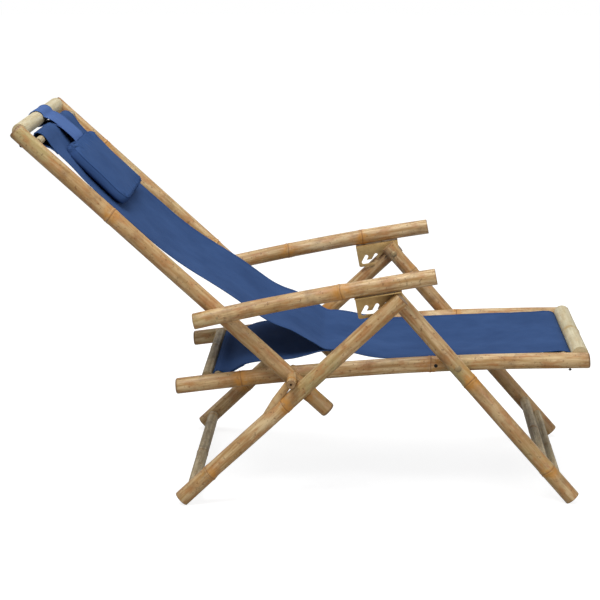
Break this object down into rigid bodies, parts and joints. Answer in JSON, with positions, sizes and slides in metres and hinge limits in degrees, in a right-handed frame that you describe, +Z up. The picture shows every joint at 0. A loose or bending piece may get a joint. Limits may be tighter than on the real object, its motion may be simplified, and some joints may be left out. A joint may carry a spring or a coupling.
{
  "type": "folding_recliner",
  "caption": "Folding recliner of bamboo poles with a hanging blue cloth seat and back, a strapped head pillow and armrests on notched brackets",
  "frame": {"origin": "centre of the bounding box, on the floor", "axes": "+X towards the sitter's feet, +Y towards the sitter's left, +Z up"},
  "size_m": [1.1852, 0.65, 0.7887],
  "materials": {
    "bamboo": "varnished bamboo cane, satin",
    "pale_bamboo": "pale bamboo cane, satin",
    "grey_bamboo": "weathered grooved cane, matte",
    "cloth": "woven cotton canvas, matte",
    "strap_cloth": "woven cotton, lighter side out, matte",
    "zinc": "yellow zinc plate",
    "steel": "plain zinc plate",
    "black_screw": "black oxide, satin"
  },
  "bodies": {
    "seat_frame": {"seat_rail_right": "bamboo", "seat_rail_left": "bamboo", "seat_rail_plug_right": "black_screw", "seat_rail_plug_left": "black_screw", "seat_rail_screw_right": "black_screw", "seat_rail_screw_left": "black_screw", "front_cross_rail": "pale_bamboo", "front_sling_rod": "grey_bamboo", "rear_cross_rail": "grey_bamboo", "rear_sling_rod": "grey_bamboo", "axle_peg_right": "bamboo", "axle_peg_left": "bamboo", "sling_seat": "cloth", "sling_rear_panel": "cloth"},
    "back_frame": {"back_rail_right": "bamboo", "back_rail_left": "bamboo", "back_rail_screw_right": "black_screw", "back_rail_screw_left": "black_screw", "top_cross_rail": "pale_bamboo", "top_sling_rod": "grey_bamboo", "sling_back": "cloth", "arm_pivot_bolt_right": "steel", "arm_pivot_bolt_left": "steel"},
    "arm_right": {"armrest_right": "bamboo", "notch_bracket_right": "zinc", "bracket_screw_rear_right": "steel", "bracket_screw_front_right": "steel"},
    "arm_left": {"armrest_left": "bamboo", "notch_bracket_left": "zinc", "bracket_screw_rear_left": "steel", "bracket_screw_front_left": "steel"},
    "front_legs": {"front_leg_right": "bamboo", "front_leg_left": "bamboo", "front_stretcher_thick": "grey_bamboo", "front_stretcher_thin": "grey_bamboo", "apex_bolt_right": "steel", "apex_bolt_left": "steel", "front_pivot_bolt_right": "steel", "front_pivot_bolt_left": "steel"},
    "rear_legs": {"rear_leg_right": "bamboo", "rear_leg_left": "bamboo", "rear_stretcher": "grey_bamboo", "cradle_strut_right": "bamboo", "cradle_strut_left": "bamboo", "strut_screw_right": "black_screw", "strut_screw_left": "black_screw"},
    "head_pillow": {"pillow": "cloth", "pillow_strap": "strap_cloth"}
  },
  "joints": [
    {"name": "back_recline", "type": "hinge", "parent": "seat_frame", "child": "back_frame", "pos_m": [-0.0224, 0, 0.2665], "axis": [0, 1, 0], "range_deg": [0, 22.4]},
    {"name": "arm_right_swing", "type": "hinge", "parent": "back_frame", "child": "arm_right", "pos_m": [-0.17287, -0.264, 0.40153], "axis": [0, 1, 0], "range_deg": [-26, 1]},
    {"name": "arm_left_swing", "type": "hinge", "parent": "back_frame", "child": "arm_left", "pos_m": [-0.17287, 0.264, 0.40153], "axis": [0, 1, 0], "range_deg": [-26, 1]},
    {"name": "front_leg_fold", "type": "hinge", "parent": "seat_frame", "child": "front_legs", "pos_m": [0.3185, 0, 0.2902], "axis": [0, -1, 0], "range_deg": [0, 43]},
    {"name": "rear_leg_fold", "type": "hinge", "parent": "front_legs", "child": "rear_legs", "pos_m": [0.192, 0, 0.432], "axis": [0, -1, 0], "range_deg": [0, 86]},
    {"name": "pillow_flip", "type": "hinge", "parent": "back_frame", "child": "head_pillow", "pos_m": [-0.57505, 0, 0.7707], "axis": [0, -1, 0], "range_deg": [0, 150]}
  ],
  "couplings": [
    {"joint": "arm_right_swing", "follows": "back_recline", "ratio": -1.08},
    {"joint": "arm_left_swing", "follows": "back_recline", "ratio": -1.08}
  ]
}
